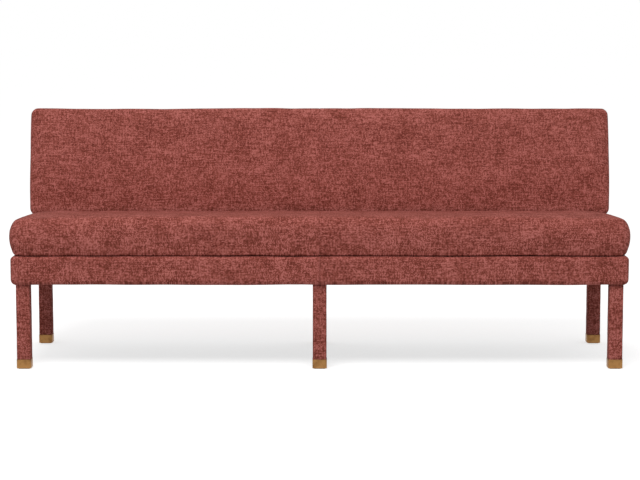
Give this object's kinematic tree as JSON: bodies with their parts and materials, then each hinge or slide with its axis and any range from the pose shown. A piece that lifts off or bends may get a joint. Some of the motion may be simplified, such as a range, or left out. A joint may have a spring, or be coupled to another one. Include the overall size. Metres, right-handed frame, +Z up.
{
  "type": "banquette",
  "caption": "Upholstered dining banquette: a reclined back pad over a deep crowned seat cushion on a padded base, with square cloth-covered legs in brass ferrules.",
  "frame": {"origin": "on the floor, under the middle of the whole outline", "axes": "+X runs along the seat to the right of a person facing its front, +Y from front to rear, +Z up"},
  "size_m": [2.004, 0.608, 0.8241],
  "materials": {
    "terracotta_cloth": "woven chenille",
    "frame_timber": "sanded",
    "plywood": "sanded",
    "seat_foam": "open-cell foam",
    "webbing": "woven",
    "black_lining": "spunbond",
    "zinc_steel": "zinc plated",
    "antique_brass": "satin",
    "felt": "felt"
  },
  "bodies": {
    "root": {"back_belts": "webbing", "back_bottom_rail_centre": "frame_timber", "back_bottom_rail_left": "frame_timber", "back_bottom_rail_right": "frame_timber", "back_cover_left": "terracotta_cloth", "back_cover_right": "terracotta_cloth", "back_foam": "seat_foam", "back_panel": "plywood", "back_post_left_end": "frame_timber", "back_post_left_inner": "frame_timber", "back_post_right_end": "frame_timber", "back_post_right_inner": "frame_timber", "back_rear_pad": "seat_foam", "back_stile_left": "frame_timber", "back_stile_right": "frame_timber", "back_top_rail": "frame_timber", "base_cover_left": "terracotta_cloth", "base_cover_right": "terracotta_cloth", "base_pad_front": "seat_foam", "base_pad_left": "seat_foam", "base_pad_rear": "seat_foam", "base_pad_right": "seat_foam", "centre_cross_rail": "frame_timber", "dust_cover": "black_lining", "ferrule_front_left": "antique_brass", "ferrule_front_middle": "antique_brass", "ferrule_front_right": "antique_brass", "ferrule_rear_left": "antique_brass", "ferrule_rear_middle": "antique_brass", "ferrule_rear_right": "antique_brass", "floor_glides": "felt", "front_left_rail": "frame_timber", "front_right_rail": "frame_timber", "left_cross_rail": "frame_timber", "left_end_rail": "frame_timber", "leg_blocks": "frame_timber", "leg_bolts": "zinc_steel", "leg_core_front_left": "frame_timber", "leg_core_front_middle": "frame_timber", "leg_core_front_right": "frame_timber", "leg_core_rear_left": "frame_timber", "leg_core_rear_middle": "frame_timber", "leg_core_rear_right": "frame_timber", "leg_inserts": "zinc_steel", "leg_sleeves": "terracotta_cloth", "post_bolts": "zinc_steel", "post_nuts": "zinc_steel", "rear_left_rail": "frame_timber", "rear_right_rail": "frame_timber", "right_cross_rail": "frame_timber", "right_end_rail": "frame_timber", "seat_belts": "webbing", "seat_cover_left": "terracotta_cloth", "seat_cover_right": "terracotta_cloth", "seat_foam": "seat_foam", "seat_straps": "webbing"}
  },
  "joints": []
}
